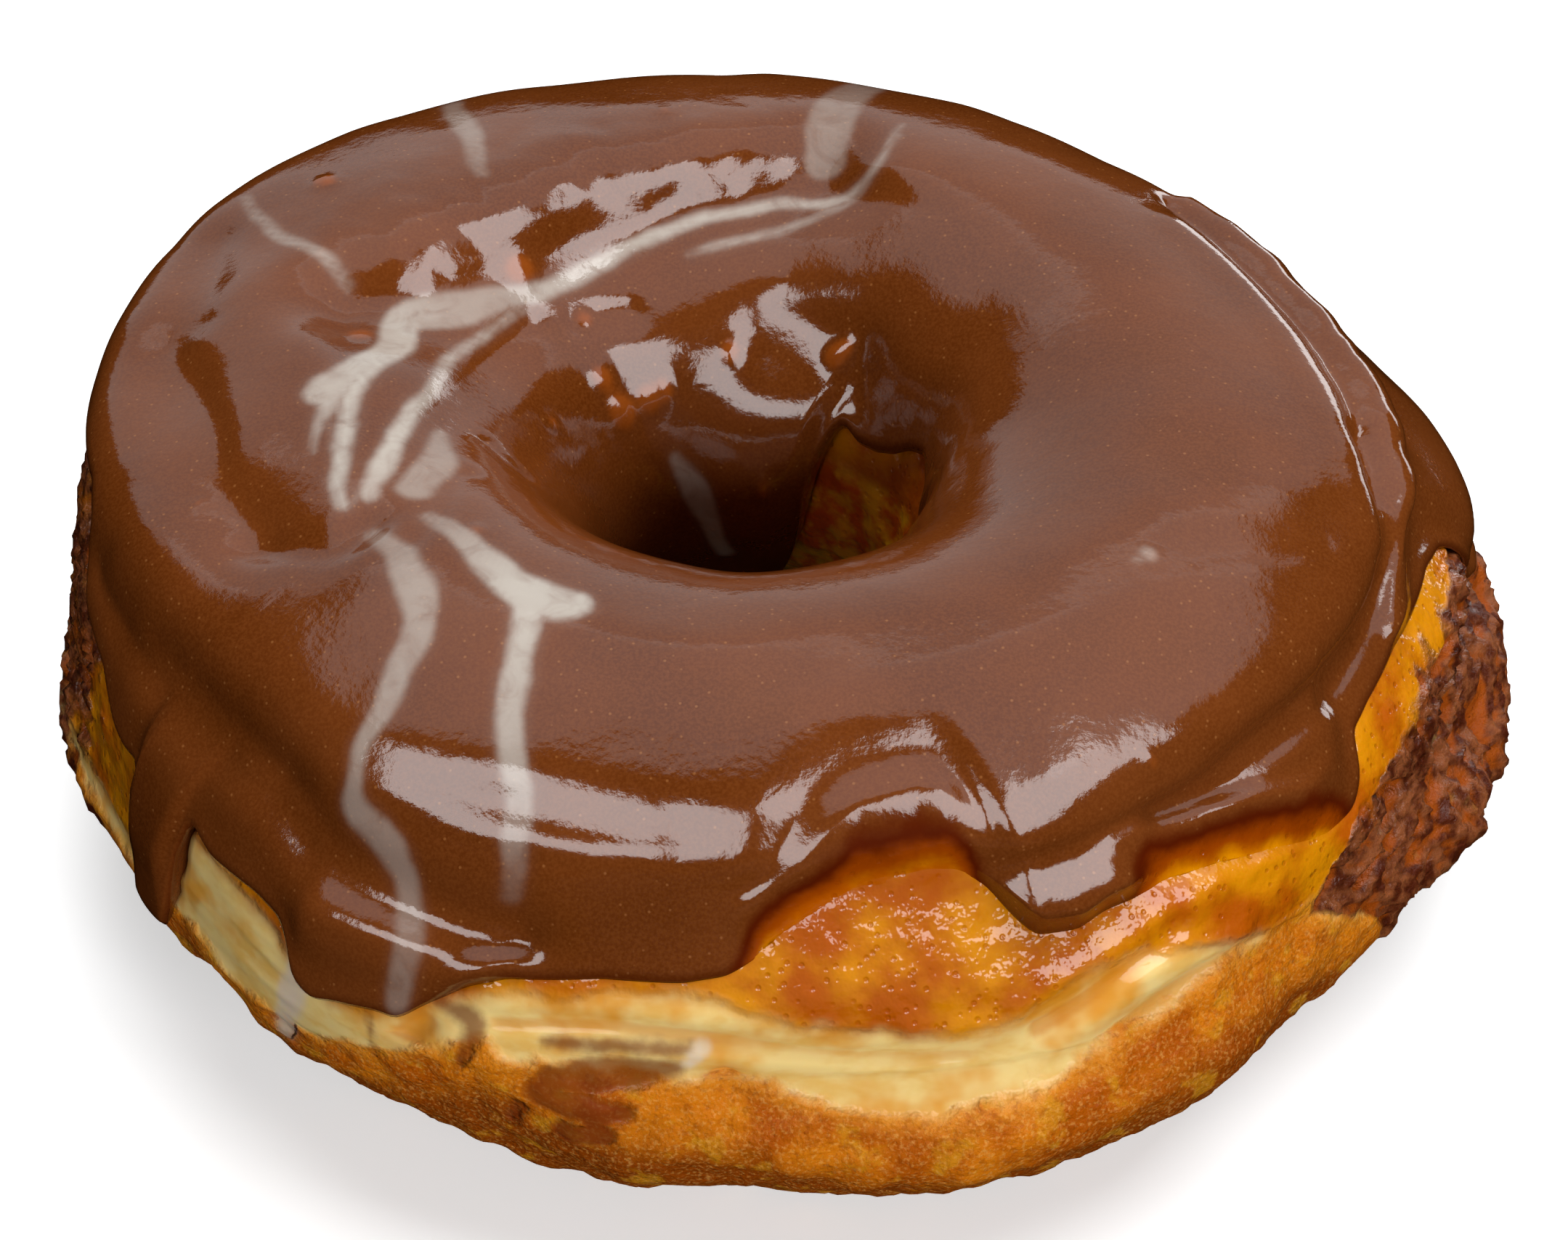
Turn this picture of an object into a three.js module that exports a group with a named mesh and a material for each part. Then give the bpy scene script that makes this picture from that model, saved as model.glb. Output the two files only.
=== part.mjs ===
// A ring doughnut: fried yeast dough under a skin of milk chocolate icing.
// Millimetres, +Z up. The origin lies on the table under the middle of the dough.
import * as THREE from 'three';
import { mergeVertices } from 'three/addons/utils/BufferGeometryUtils.js';

// ---------------------------------------------------------------------------
// Driving dimensions. A row gives one size at the twelve clock positions round
// the ring: 0, 30, 60 ... 330 degrees, anticlockwise from +X seen from above.
// The front of the doughnut is at 270 degrees.
// ---------------------------------------------------------------------------
const LOWER_RADIUS = [50.5, 48.5, 46, 46, 47.5, 49.5, 49, 46.5, 45.4, 44.8, 46.2, 46]; // browned lower tier
const BELT_RADIUS = [46.5, 46, 43.5, 44.5, 46.5, 48.5, 48.5, 46.5, 46.3, 42.5, 44.2, 44.5]; // pale crease
const BULGE_RADIUS = [45.8, 46, 43.2, 44.5, 47, 49.5, 48.2, 45.5, 43.6, 41.5, 42.6, 43.5]; // upper tier
const WAIST_RADIUS = [41, 40, 41, 43, 46.5, 49, 46.8, 43, 39.2, 37, 37.2, 38.8]; // groove under the dome
const DOME_RADIUS = [38, 37.5, 38.5, 40.5, 44, 46.3, 43.5, 39, 35.2, 33.5, 34, 36]; // shoulder of the dome
const CROWN_RADIUS = [27, 27, 27.5, 28.5, 30, 31, 29.5, 26.5, 24.5, 24, 24.5, 26]; // highest line of the ring
const HOLE_RADIUS = [12, 12, 11.5, 11.5, 12, 12, 11.5, 10.5, 9.5, 10, 10.5, 11.5]; // throat, from its own middle

const LOWER_HEIGHT = 10;
const BELT_HEIGHT = 16.5;
const BULGE_HEIGHT = 21.5;
const WAIST_HEIGHT = 27;
const DOME_HEIGHT = 30.8;
const CROWN_HEIGHT = 33.8;
const THROAT_HEIGHT = 17;
const THROAT_LENGTH = 10; // straight part of the hole
const THROAT_FLARE = 0.8; // how far its ends open out
const FOOT_HEIGHT = 2.3; // where the rounded heels meet the flat foot
const OUTER_HEEL = 5.5; // heel, in from the lower tier
const INNER_HEEL = 7.5; // heel, out from the throat
const FOOT_SINK = 0.6; // the foot is pressed flat by this much

// The hole sits off the middle: the inner wall moves by this much, fading to
// nothing towards the outside of the ring.
const HOLE_SHIFT = new THREE.Vector2(-3, 3);
const SHIFT_WHOLE_WITHIN = 14;
const SHIFT_NONE_BEYOND = 36;

// Swells (+) and dents (-) of the dough. `place` counts the key lines across the
// ring's section: 0 belt, 1 bulge, 2 waist, 3 dome, 4 crown, 6 and 7 throat, 9 foot
// and 11 lower tier. `wide` is in degrees, `high` in key lines and `out` in mm.
const DOUGH_RELIEF = [
  { angle: 248, place: 2.75, wide: 20, high: 0.28, out: -0.7 }, // ledge below the front of the dome
  { angle: 252, place: 3.72, wide: 26, high: 0.3, out: 0.5 }, // long fold over the front
  { angle: 318, place: 3.75, wide: 34, high: 0.3, out: 0.5 },
  { angle: 292, place: 2.35, wide: 14, high: 0.4, out: 0.9 }, // swell over the bare dough
  { angle: 212, place: 2.2, wide: 13, high: 0.6, out: -1.2 }, // hollow at the front left
  { angle: 196, place: 3.55, wide: 12, high: 0.35, out: -0.8 }, // folds on the left
  { angle: 170, place: 3.3, wide: 11, high: 0.35, out: -0.8 },
  { angle: 150, place: 3.3, wide: 7, high: 0.5, out: -0.7 },
  { angle: 13, place: 11.3, wide: 4, high: 0.4, out: 1.2 }, // crags of the lower tier, right
  { angle: 352, place: 11.4, wide: 4, high: 0.5, out: -1.4 },
  { angle: 343, place: 11.2, wide: 6, high: 0.5, out: 1 },
  { angle: 318, place: 11, wide: 7, high: 0.6, out: -0.8 },
  { angle: 284, place: 11, wide: 10, high: 0.6, out: 1.3 },
  { angle: 246, place: 11.2, wide: 5, high: 0.6, out: -0.9 },
  { angle: 185, place: 11.5, wide: 8, high: 0.6, out: 0.8 },
  { angle: 120, place: 11.2, wide: 14, high: 0.6, out: -0.8 }, // and at the back
  { angle: 75, place: 11.2, wide: 12, high: 0.6, out: 0.8 },
];

// Chocolate icing: a skin from its dripping outer edge, over the ring, to an edge
// inside the hole. Edge places count the key lines as above.
const ICING_THICKNESS = 1.25;
const ICING_GAP = 0.6; // clear of the dough all over
const ICING_OUTER_EDGE = 1.65;
const ICING_INNER_EDGE = 6.8;
const ICING_LIP = 0.3; // below 1 rounds the edges
const OUTER_RUNS = [
  // how far the icing has run down (+) or stops short (-), in key lines
  { angle: 184, wide: 6, down: -0.8 },
  { angle: 199, wide: 4, down: 0.8 },
  { angle: 207, wide: 3.8, down: 2 }, // long run at the left
  { angle: 220, wide: 8, down: 0.95 },
  { angle: 230, wide: 5, down: 1.0 },
  { angle: 238, wide: 5, down: 1.0 },
  { angle: 256, wide: 14, down: 0.45 },
  { angle: 282, wide: 8, down: -0.75 }, // the bare dough at the front
  { angle: 297, wide: 5, down: 0.4 }, // lobe
  { angle: 325, wide: 6, down: 0.75 },
  { angle: 20, wide: 9, down: 0.7 },
  { angle: 55, wide: 10, down: -0.4 },
  { angle: 82, wide: 7, down: 0.9 },
  { angle: 112, wide: 9, down: -0.3 },
  { angle: 140, wide: 6, down: 0.8 },
  { angle: 160, wide: 7, down: -0.2 },
];
const INNER_RUNS = [
  { angle: 36, wide: 22, down: -1.1 }, // bare dough inside the hole, right
  { angle: 120, wide: 22, down: 0.5 },
  { angle: 250, wide: 30, down: -0.3 },
];

// How finely each piece is divided.
const STEPS_ROUND = 92;
const FRONT_CROWDING = 0.28; // steps are closer by this share at the front, where the runs are narrow
const DOUGH_STEPS_ACROSS = 40;
const ICING_STEPS_ACROSS = 34;
const SHOULDER_CROWDING = 1.3; // above 1 draws the icing's steps to the dome's shoulder
const EDGE_PULL = 4; // the higher, the less a run at an edge moves the rest of the skin

const CHOCOLATE = new THREE.MeshStandardMaterial({ color: 0x5e331c, roughness: 0.18 });
const CRUST = new THREE.MeshStandardMaterial({ color: 0xc07a2e, roughness: 0.6 });

// ---------------------------------------------------------------------------
// Shape
// ---------------------------------------------------------------------------
const TURN = 2 * Math.PI;
const degrees = THREE.MathUtils.radToDeg;
const KEY_LINES = 12;

// A smooth curve through values a, b, c, d, at a fraction of the way from b to c.
function smoothBetween(a, b, c, d, fraction) {
  const f = fraction;
  return 0.5 * (2 * b + (c - a) * f + (2 * a - 5 * b + 4 * c - d) * f * f + (3 * b - a - 3 * c + d) * f ** 3);
}

// A closed row of values, read at any fraction of a full turn.
function around(row, fraction) {
  const at = THREE.MathUtils.euclideanModulo(fraction, 1) * row.length;
  const first = Math.floor(at);
  const pick = (step) => row[(first + step + row.length) % row.length];
  return smoothBetween(pick(-1), pick(0), pick(1), pick(2), at - first);
}

// The key lines of the ring's section at an angle, as radii and heights.
function keyLines(angle) {
  const read = (row) => around(row, angle / TURN);
  const lower = read(LOWER_RADIUS);
  const crown = read(CROWN_RADIUS);
  const hole = read(HOLE_RADIUS);
  const throat = hole + THROAT_FLARE;
  const half = THROAT_LENGTH / 2;
  return [
    [read(BELT_RADIUS), BELT_HEIGHT],
    [read(BULGE_RADIUS), BULGE_HEIGHT],
    [read(WAIST_RADIUS), WAIST_HEIGHT],
    [read(DOME_RADIUS), DOME_HEIGHT],
    [crown, CROWN_HEIGHT],
    [THREE.MathUtils.lerp(hole, crown, 0.4), THREE.MathUtils.lerp(CROWN_HEIGHT, THROAT_HEIGHT, 0.22)],
    [throat, THROAT_HEIGHT + half],
    [throat, THROAT_HEIGHT - half],
    [hole + INNER_HEEL, FOOT_HEIGHT],
    [THREE.MathUtils.lerp(hole, lower, 0.58), -FOOT_SINK],
    [lower - OUTER_HEEL, FOOT_HEIGHT],
    [lower, LOWER_HEIGHT],
  ];
}

// The plain ring, before dents and swells: a point by angle and place across.
function ringPoint(angle, place) {
  const lines = keyLines(angle);
  const radius = around(lines.map((line) => line[0]), place / KEY_LINES);
  const height = around(lines.map((line) => line[1]), place / KEY_LINES);
  const inward = 1 - THREE.MathUtils.smoothstep(radius, SHIFT_WHOLE_WITHIN, SHIFT_NONE_BEYOND);
  return new THREE.Vector3(
    HOLE_SHIFT.x * inward + radius * Math.cos(angle),
    HOLE_SHIFT.y * inward + radius * Math.sin(angle),
    height,
  );
}

// The direction straight out of the ring's surface.
function outward(angle, place) {
  const small = 0.01;
  const along = ringPoint(angle + small, place).sub(ringPoint(angle - small, place));
  const across = ringPoint(angle, place + small).sub(ringPoint(angle, place - small));
  return along.cross(across).normalize();
}

// A smooth hump: 1 at its middle, fading to nothing within about two widths.
function hump(distance, width) {
  return Math.exp(-((distance / width) ** 2));
}

// The shorter way round a circle of the given length.
function shorter(difference, length) {
  return THREE.MathUtils.euclideanModulo(difference + length / 2, length) - length / 2;
}

function relief(angle, place) {
  return DOUGH_RELIEF.reduce((sum, mark) => {
    const round = hump(shorter(degrees(angle) - mark.angle, 360), mark.wide);
    return sum + mark.out * round * hump(shorter(place - mark.place, KEY_LINES), mark.high);
  }, 0);
}

function runs(list, angle) {
  return list.reduce((sum, run) => sum + run.down * hump(shorter(degrees(angle) - run.angle, 360), run.wide), 0);
}

// A point of the dough's surface, lifted off it by a height.
function doughPoint(angle, place, lift = 0) {
  const point = ringPoint(angle, place);
  point.addScaledVector(outward(angle, place), relief(angle, place) + lift);
  point.z = Math.max(point.z, 0);
  return point;
}

// A point of the icing. `share` goes once round the skin's own section: over the
// outside from the outer edge to the inner one, then back underneath.
function icingPoint(angle, share) {
  const across = 1 - Math.abs(1 - 2 * share);
  const even = THREE.MathUtils.lerp(ICING_OUTER_EDGE, ICING_INNER_EDGE, across ** SHOULDER_CROWDING);
  const outerPull = runs(OUTER_RUNS, angle) * (1 - across) ** EDGE_PULL;
  const innerPull = runs(INNER_RUNS, angle) * across ** EDGE_PULL;
  const place = even - outerPull + innerPull;
  const wave = Math.sin(share * TURN);
  const side = Math.sign(wave) * Math.abs(wave) ** ICING_LIP;
  return doughPoint(angle, place, ICING_GAP + (ICING_THICKNESS * (1 + side)) / 2);
}

// A closed ring: a torus whose every corner is put where `place` says.
function ring(name, material, stepsAcross, place) {
  const geometry = new THREE.TorusGeometry(1, 0.5, stepsAcross, STEPS_ROUND);
  const corner = geometry.attributes.position;
  const share = geometry.attributes.uv;
  for (let i = 0; i < corner.count; i++) {
    const turned = (share.getX(i) % 1) * TURN;
    const angle = turned - FRONT_CROWDING * Math.cos(turned);
    const point = place(angle, share.getY(i) % 1);
    corner.setXYZ(i, point.x, point.y, point.z);
  }
  geometry.deleteAttribute('normal');
  geometry.deleteAttribute('uv');
  const mesh = new THREE.Mesh(mergeVertices(geometry), material);
  mesh.name = name;
  return mesh;
}

const doughnut = new THREE.Group();
doughnut.add(
  ring('dough_ring', CRUST, DOUGH_STEPS_ACROSS, (angle, share) => doughPoint(angle, share * KEY_LINES)),
  ring('chocolate_icing', CHOCOLATE, ICING_STEPS_ACROSS, icingPoint),
);

export default doughnut;
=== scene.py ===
# %% [markdown]
# # A ring doughnut under chocolate icing
# This lesson dresses a plain doughnut for a close photograph. The plain model has two
# solids: the ring of fried dough and the skin of icing over it. Here both are made again,
# finer, from the same key lines, so that crumbs, folds and runs can be shaped and coloured.
# Shapes are worked out in millimetres and put into the scene in metres.

import math

import bmesh
import bpy
import numpy as np
from mathutils import Matrix, Quaternion, Vector, noise


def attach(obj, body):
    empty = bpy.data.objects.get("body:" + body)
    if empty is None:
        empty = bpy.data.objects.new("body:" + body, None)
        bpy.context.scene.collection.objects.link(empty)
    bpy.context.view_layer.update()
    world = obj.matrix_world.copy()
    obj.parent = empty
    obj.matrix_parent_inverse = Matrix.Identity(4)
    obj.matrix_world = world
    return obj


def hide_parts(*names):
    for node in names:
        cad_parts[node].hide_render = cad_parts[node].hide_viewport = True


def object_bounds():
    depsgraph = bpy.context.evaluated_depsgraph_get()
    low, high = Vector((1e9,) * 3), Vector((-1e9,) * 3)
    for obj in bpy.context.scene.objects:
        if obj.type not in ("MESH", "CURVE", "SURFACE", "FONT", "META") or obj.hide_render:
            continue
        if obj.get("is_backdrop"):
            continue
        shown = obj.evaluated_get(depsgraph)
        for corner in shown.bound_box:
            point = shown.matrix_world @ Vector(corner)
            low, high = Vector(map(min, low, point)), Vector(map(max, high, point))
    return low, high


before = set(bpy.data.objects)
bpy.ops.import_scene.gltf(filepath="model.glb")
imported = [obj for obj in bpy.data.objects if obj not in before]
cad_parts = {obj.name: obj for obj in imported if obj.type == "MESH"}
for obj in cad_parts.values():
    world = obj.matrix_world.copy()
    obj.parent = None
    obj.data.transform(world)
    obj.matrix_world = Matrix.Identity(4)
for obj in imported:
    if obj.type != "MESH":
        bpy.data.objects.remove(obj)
cad_low, cad_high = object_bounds()
METRES = 0.001  # one millimetre
print("plain model from", tuple(cad_low), "to", tuple(cad_high))

# %% [markdown]
# ## The camera
# The doughnut is seen from the front and from about 42 degrees above the table, through a
# long lens, so that the back of the ring is hardly smaller than the front. The lens follows
# from two things measured in the picture: its width and how many pixels a millimetre takes.

# %% The camera
PICTURE_WIDTH = 2159  # pixels
PIXELS_PER_MILLIMETRE = 20
CAMERA_DISTANCE = 400
CAMERA_RISE = math.radians(42)
LOOKED_AT = Vector((0, 0.5, 16.5))
SENSOR_WIDTH = 36


def in_scene(name, data):
    """A new object of the scene, made of that data."""
    made = bpy.data.objects.new(name, data)
    bpy.context.scene.collection.objects.link(made)
    return made


camera = in_scene("camera", bpy.data.cameras.new("camera"))
camera.data.sensor_width = SENSOR_WIDTH
camera.data.lens = SENSOR_WIDTH * PIXELS_PER_MILLIMETRE * CAMERA_DISTANCE / PICTURE_WIDTH
camera.data.clip_start = 0.01
towards_camera = Vector((0, -math.cos(CAMERA_RISE), math.sin(CAMERA_RISE)))
camera.location = (LOOKED_AT + towards_camera * CAMERA_DISTANCE) * METRES
camera.rotation_euler = (math.pi / 2 - CAMERA_RISE, 0, 0)
bpy.context.scene.camera = camera
print("lens", round(camera.data.lens, 1), "mm")

# %% [markdown]
# ## The ring's section
# A cut through a raised doughnut isn't round. It has a browned lower tier, a pale belt where
# the dough floated in the oil, a bulge above it, a waist, a dome and the hole's throat. Twelve
# key lines mark these places on the section, and each line has its own radius at the twelve
# clock positions round the ring. A smooth curve through the lines, read at any angle, gives
# every point of the surface, so a place on the doughnut is simply an angle and a key line.

# %% Sizes at the clock positions, anticlockwise from the right
LOWER_RADIUS = [50.5, 48.5, 46, 46, 47.5, 49.5, 49, 46.5, 45.4, 44.8, 46.2, 46]
BELT_RADIUS = [46.5, 46, 43.5, 44.5, 46.5, 48.5, 48.5, 46.5, 46.3, 42.5, 44.2, 44.5]
BULGE_RADIUS = [45.8, 46, 43.2, 44.5, 47, 49.5, 48.2, 45.5, 43.6, 41.5, 42.6, 43.5]
WAIST_RADIUS = [41, 40, 41, 43, 46.5, 49, 46.8, 43, 39.2, 37, 37.2, 38.8]
DOME_RADIUS = [38, 37.5, 38.5, 40.5, 44, 46.3, 43.5, 39, 35.2, 33.5, 34, 36]
CROWN_RADIUS = [27, 27, 27.5, 28.5, 30, 31, 29.5, 26.5, 24.5, 24, 24.5, 26]
HOLE_RADIUS = [12, 12, 11.5, 11.5, 12, 12, 11.5, 10.5, 9.5, 10, 10.5, 11.5]
BELT_HEIGHT, BULGE_HEIGHT, WAIST_HEIGHT = 16.5, 21.5, 27
DOME_HEIGHT, CROWN_HEIGHT, LOWER_HEIGHT = 30.8, 33.8, 10
THROAT_HEIGHT, THROAT_LENGTH, THROAT_FLARE = 17, 10, 0.8
FOOT_HEIGHT, OUTER_HEEL, INNER_HEEL, FOOT_SINK = 2.3, 5.5, 7.5, 0.6
HOLE_SHIFT = (-3, 3)
SHIFT_WHOLE_WITHIN, SHIFT_NONE_BEYOND = 14, 36
SHOULDER_RADIUS_SHARES = 0.6, 0.4  # of the hole's radius and the crown's
FOOT_RADIUS_SHARES = 0.42, 0.58  # of the hole's radius and the lower tier's
SHOULDER_HEIGHT_SHARES = 0.78, 0.22  # of the crown's height and the throat's
KEY_LINES = 12
THROAT, LOWER = 6.5, 11  # two of the key lines


# %% Smooth curves through values
def smooth_between(a, b, c, d, f):
    return 0.5 * (2 * b + (c - a) * f + (2 * a - 5 * b + 4 * c - d) * f**2 + (3 * b - a - 3 * c + d) * f**3)


def around(row, turn):
    """A closed row of values, read at any fraction of a turn."""
    row = np.asarray(row, float)
    at = np.mod(turn, 1) * len(row)
    first = np.floor(at).astype(int)
    a, b, c, d = (row[(first + step) % len(row)] for step in (-1, 0, 1, 2))
    return smooth_between(a, b, c, d, at - first)


def ease(low, high, value):
    """0 below low, 1 above high and smooth between them."""
    f = np.clip((value - low) / (high - low), 0, 1)
    return f * f * (3 - 2 * f)


def hump(distance, width):
    """1 in the middle, fading to nothing within about two widths."""
    return np.exp(-((distance / width) ** 2))


def shorter(difference, length):
    """The shorter way round a circle of the given length."""
    return np.mod(difference + length / 2, length) - length / 2


# %% The plain ring
def key_lines(angle):
    turn = angle / math.tau
    rows = LOWER_RADIUS, CROWN_RADIUS, HOLE_RADIUS, BELT_RADIUS, BULGE_RADIUS, WAIST_RADIUS, DOME_RADIUS
    lower, crown, hole, belt, bulge, waist, dome = (around(row, turn) for row in rows)
    of_hole, of_crown = SHOULDER_RADIUS_SHARES
    shoulder = hole * of_hole + crown * of_crown
    of_hole, of_lower = FOOT_RADIUS_SHARES
    foot = hole * of_hole + lower * of_lower
    throat = hole + THROAT_FLARE
    radii = [belt, bulge, waist, dome, crown, shoulder, throat, throat]
    radii += [hole + INNER_HEEL, foot, lower - OUTER_HEEL, lower]
    of_crown, of_throat = SHOULDER_HEIGHT_SHARES
    shoulder_height = CROWN_HEIGHT * of_crown + THROAT_HEIGHT * of_throat
    heights = [BELT_HEIGHT, BULGE_HEIGHT, WAIST_HEIGHT, DOME_HEIGHT, CROWN_HEIGHT, shoulder_height]
    heights += [THROAT_HEIGHT + THROAT_LENGTH / 2, THROAT_HEIGHT - THROAT_LENGTH / 2]
    heights += [FOOT_HEIGHT, -FOOT_SINK, FOOT_HEIGHT, LOWER_HEIGHT]
    return np.array(radii), heights


def ring_point(angle, place):
    """A point of the ring before dents and swells, by angle and place across."""
    radii, heights = key_lines(angle)
    at = np.mod(place, KEY_LINES)
    first = np.floor(at).astype(int)
    column = np.arange(len(angle))
    a, b, c, d = (radii[(first + step) % KEY_LINES, column] for step in (-1, 0, 1, 2))
    radius = smooth_between(a, b, c, d, at - first)
    inward = 1 - ease(SHIFT_WHOLE_WITHIN, SHIFT_NONE_BEYOND, radius)
    x = HOLE_SHIFT[0] * inward + radius * np.cos(angle)
    y = HOLE_SHIFT[1] * inward + radius * np.sin(angle)
    return np.stack([x, y, around(heights, place / KEY_LINES)], 1)


def outward(angle, place, small=0.01):
    """The direction straight out of the ring's surface."""
    along = ring_point(angle + small, place) - ring_point(angle - small, place)
    across = ring_point(angle, place + small) - ring_point(angle, place - small)
    normal = np.cross(along, across)
    return normal / np.linalg.norm(normal, axis=1, keepdims=True)


quarter = np.radians([0.0, 90, 180, 270])
print("lower tier at the four sides, mm:", ring_point(quarter, quarter * 0 + LOWER).round(1).tolist())

# %% [markdown]
# ## Marks on the surface
# Folds, lumps, runs of glaze and stains are all drawn the same way: a few stops on the
# surface, each an angle in degrees, a key line and a half width in millimetres, joined by a
# smooth curve. Every corner of the mesh then asks how far it is from the curve. That distance
# can push the corner in or out, or be kept as an attribute that a material reads later, which
# stays sharp however coarse the mesh is.


# %% Distance from a mark
READS_BETWEEN_STOPS = 24
THINNEST_MARK = 0.05  # mm, half of it


def curve_through(stops, step=0.4):
    """Stops of (angle, place, half width), joined smoothly and read about every step mm."""
    stops = np.array(stops, float)
    ends = np.vstack([2 * stops[:1] - stops[1:2], stops, 2 * stops[-1:] - stops[-2:-1]])
    f = np.linspace(0, 1, READS_BETWEEN_STOPS)[:, None]
    spans = [smooth_between(*ends[k : k + 4], f) for k in range(len(stops) - 1)]
    path = np.concatenate(spans)
    points = ring_point(np.radians(path[:, 0]), path[:, 1])
    length = np.concatenate([[0], np.cumsum(np.linalg.norm(np.diff(points, axis=0), axis=1))])
    even = np.linspace(0, length[-1], max(2, int(length[-1] / step)))
    read = lambda column: np.interp(even, length, column)
    width = np.maximum(read(path[:, 2]), THINNEST_MARK)
    return np.stack([read(points[:, k]) for k in range(3)], 1), width


def beyond(points, stops, reach=6.0):
    """How far each point lies outside the mark, in mm: below zero inside it, reach far away."""
    curve, width = curve_through(stops)
    result = np.full(len(points), reach)
    near = np.all((points > curve.min(0) - reach) & (points < curve.max(0) + reach), axis=1)
    chosen = points[near]
    best = np.full(len(chosen), reach)
    for centre, half in zip(curve, width):
        best = np.minimum(best, np.linalg.norm(chosen - centre, axis=1) - half)
    result[near] = best
    return result


def from_spot(points, angle, place):
    """Distance in mm from one spot on the surface."""
    spot = ring_point(np.radians([float(angle)]), np.array([float(place)]))
    return np.linalg.norm(points - spot, axis=1)


def rough(points, size, octaves=3, shift=0.0):
    """Cloudy noise from about -1 to 1, with lumps of the given size in mm."""
    scaled = points / size + shift
    return np.array([noise.fractal(Vector(p), 1.0, 2.0, octaves) for p in scaled])


# %% [markdown]
# ## A ring of mesh
# Both pieces are tori, so both start from a circle of corners that is spun once round the
# upright axis and merged where it meets itself. The spun torus is only a carrier: each
# corner's turn round the axis and turn round the circle are read back, and a shape function
# says where that corner belongs. Steps can be crowded to where the detail is.


# %% Spin a torus and read its turns
def spun_ring(name, steps_round, steps_across):
    mesh = bmesh.new()
    stand = Matrix.Translation((1, 0, 0)) @ Matrix.Rotation(math.pi / 2, 4, "X")
    bmesh.ops.create_circle(mesh, segments=steps_across, radius=0.5, matrix=stand)
    section = mesh.verts[:] + mesh.edges[:]
    bmesh.ops.spin(mesh, geom=section, axis=(0, 0, 1), cent=(0, 0, 0), angle=math.tau,
                   steps=steps_round, use_merge=True)
    bmesh.ops.remove_doubles(mesh, verts=mesh.verts, dist=1e-5)
    bmesh.ops.recalc_face_normals(mesh, faces=mesh.faces)
    data = bpy.data.meshes.new(name)
    mesh.to_mesh(data)
    mesh.free()
    data.shade_smooth()
    piece = in_scene(name, data)
    corners = np.empty(len(data.vertices) * 3, np.float32)
    data.vertices.foreach_get("co", corners)
    x, y, z = corners.reshape(-1, 3).T.astype(float)
    return piece, np.arctan2(y, x), np.mod(np.arctan2(z, np.hypot(x, y) - 1) / math.tau, 1)


def put(piece, points):
    """Moves a piece's corners, kept inside the plain model's box."""
    inside = np.clip(points * METRES, np.array(cad_low), np.array(cad_high))
    piece.data.vertices.foreach_set("co", inside.astype(np.float32).ravel())
    piece.data.update()


def keep(piece, name, values):
    """Stores one number at each corner, for the piece's material to read."""
    attribute = piece.data.attributes.new(name, "FLOAT", "POINT")
    attribute.data.foreach_set("value", np.asarray(values, np.float32))


# %% [markdown]
# ## Dents and swells
# The dough's broad unevenness is the same as in the plain model: soft humps, each at an
# angle and a key line, some out and some in.

# %% Broad relief: angle, place, width in degrees, height in key lines, mm out
DOUGH_RELIEF = [
    (248, 2.75, 20, 0.28, -0.7), (252, 3.72, 26, 0.3, 0.5), (318, 3.75, 34, 0.3, 0.5),
    (292, 2.35, 14, 0.4, 0.9), (212, 2.2, 13, 0.6, -1.2), (196, 3.55, 12, 0.35, -0.8),
    (170, 3.3, 11, 0.35, -0.8), (150, 3.3, 7, 0.5, -0.7), (13, 11.3, 4, 0.4, 1.2),
    (352, 11.4, 4, 0.5, -1.4), (343, 11.2, 6, 0.5, 1), (318, 11, 7, 0.6, -0.8),
    (284, 11, 10, 0.6, 1.3), (246, 11.2, 5, 0.6, -0.9), (185, 11.5, 8, 0.6, 0.8),
    (120, 11.2, 14, 0.6, -0.8), (75, 11.2, 12, 0.6, 0.8),
]


def broad_relief(angle, place):
    total = np.zeros(len(angle))
    for at, line, wide, high, out in DOUGH_RELIEF:
        round_it = hump(shorter(np.degrees(angle) - at, 360), wide)
        total += out * round_it * hump(shorter(place - line, KEY_LINES), high)
    return total


def between(angle, start, stop, soft=6):
    """1 where the angle in degrees lies from start to stop, soft at both ends."""
    middle, half = (start + stop) / 2, (stop - start) / 2
    off = np.abs(shorter(np.degrees(angle) - middle, 360))
    return 1 - ease(half - soft / 2, half + soft / 2, off)


# %% [markdown]
# ## The icing's edges
# Icing that is poured or dipped ends in a wandering line: runs that stopped part way down,
# bays where the dough shows, and here a stretch at the front right where it is wiped so thin
# that amber dough glows through. Both edges are closed lines given by stops round the ring,
# each an angle and a key line. The inner one leaves a wedge of bare dough in the throat.

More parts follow.
